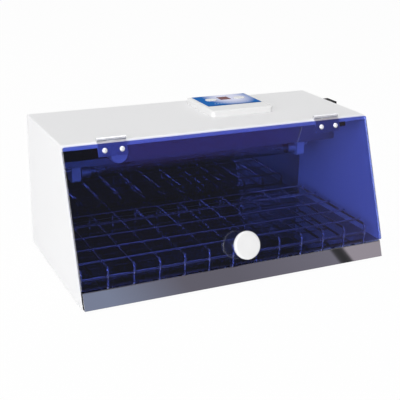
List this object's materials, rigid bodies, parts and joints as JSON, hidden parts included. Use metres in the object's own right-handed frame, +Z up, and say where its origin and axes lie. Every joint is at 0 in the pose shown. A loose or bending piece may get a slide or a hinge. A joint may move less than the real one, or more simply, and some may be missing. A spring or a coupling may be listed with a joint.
{
  "type": "uv sterilizer cabinet",
  "caption": "Tabletop UV sterilizer cabinet: white steel box, slanted blue acrylic door on top hinges, polished inside, wire rack, germicidal tube and timer box on the lid",
  "frame": {"origin": "on the table, under the middle of the whole part, at the bottom of the feet", "axes": "+X to the right seen from the door, +Y to the back, +Z up"},
  "size_m": [0.3908, 0.2201, 0.1734],
  "materials": {
    "white_paint": "smooth white powder coat",
    "polished_steel": "mirror-polished stainless steel",
    "zinc_steel": "bright zinc plate",
    "rubber": "matt black rubber",
    "dark_enamel": "dark varnish",
    "white_plastic": "matt white",
    "white_gloss": "gloss white",
    "brass_pins": "plain brass",
    "lamp_glass": "clear",
    "lamp_metal": "satin",
    "chrome_wire": "bright plated wire",
    "blue_acrylic": "clear deep blue",
    "blue_film": "printed film",
    "dark_red": "dark tinted window",
    "circuit_board": "green lacquer",
    "black_plastic": "satin black"
  },
  "bodies": {
    "cabinet": {"outer_shell": "white_paint", "back_panel": "white_paint", "bottom_plate": "white_paint", "base_pan": "polished_steel", "back_reflector": "polished_steel", "ballast_housing": "polished_steel", "back_panel_screws": "zinc_steel", "foot_screws": "zinc_steel", "housing_rivets": "zinc_steel", "hinge_left_body_leaf": "zinc_steel", "hinge_left_pin": "zinc_steel", "hinge_right_body_leaf": "zinc_steel", "hinge_right_pin": "zinc_steel", "hinge_body_rivets": "zinc_steel", "control_screws": "zinc_steel", "rubber_feet": "rubber", "ballast": "dark_enamel", "starter_socket": "white_plastic", "lamp_holder_left": "white_plastic", "lamp_holder_right": "white_plastic", "lamp_leads": "white_plastic", "control_base": "white_gloss", "control_cover": "white_gloss", "control_label": "blue_film", "display_window": "dark_red", "timer_board": "circuit_board", "key_switches": "black_plastic", "switch_body": "black_plastic", "cord_gland": "black_plastic", "interlock_switch": "black_plastic"},
    "door": {"door_panel": "blue_acrylic", "door_knob": "white_gloss", "knob_screw": "zinc_steel", "knob_washer": "zinc_steel", "hinge_left_door_leaf": "zinc_steel", "hinge_right_door_leaf": "zinc_steel", "hinge_door_screws": "zinc_steel"},
    "rack": {"rack_long_wires": "chrome_wire", "rack_cross_wires": "chrome_wire", "rack_tie_rods": "chrome_wire"},
    "lamp": {"lamp_tube": "lamp_glass", "lamp_caps": "lamp_metal", "lamp_pins": "brass_pins", "lamp_electrodes": "lamp_metal", "lamp_rotors": "white_plastic"},
    "starter": {"starter_can": "white_plastic", "starter_pins": "brass_pins"},
    "rocker": {"switch_rocker": "black_plastic"},
    "left_button": {"button_left": "white_gloss"},
    "right_button": {"button_right": "white_gloss"},
    "plunger": {"interlock_plunger": "black_plastic"}
  },
  "joints": [
    {"name": "door_swing", "type": "hinge", "parent": "cabinet", "child": "door", "pos_m": [-0.00537, -0.03966, 0.16761], "axis": [-1, 0, 0], "range_deg": [0, 210]},
    {"name": "rack_lift", "type": "slide", "parent": "cabinet", "child": "rack", "axis": [0, 0.352, 0.936], "range_m": [0, 0.045]},
    {"name": "lamp_twist", "type": "hinge", "parent": "cabinet", "child": "lamp", "pos_m": [-0.00537, 0.046, 0.1055], "axis": [1, 0, 0], "range_deg": [0, 90]},
    {"name": "starter_twist", "type": "hinge", "parent": "cabinet", "child": "starter", "pos_m": [-0.11837, -0.0035, 0.13715], "axis": [0, 1, 0], "range_deg": [0, 40]},
    {"name": "rocker_tip", "type": "hinge", "parent": "cabinet", "child": "rocker", "pos_m": [0.18513, 0.0405, 0.1567], "axis": [0, 0, 1], "range_deg": [-18, 0]},
    {"name": "left_button_press", "type": "slide", "parent": "cabinet", "child": "left_button", "axis": [0, 0, -1], "range_m": [0, 0.0005], "stiffness_N_per_m": 400},
    {"name": "right_button_press", "type": "slide", "parent": "cabinet", "child": "right_button", "axis": [0, 0, -1], "range_m": [0, 0.0005], "stiffness_N_per_m": 400},
    {"name": "plunger_press", "type": "slide", "parent": "cabinet", "child": "plunger", "axis": [0, 0.936, -0.352], "range_m": [0, 0.0018], "stiffness_N_per_m": 300}
  ]
}
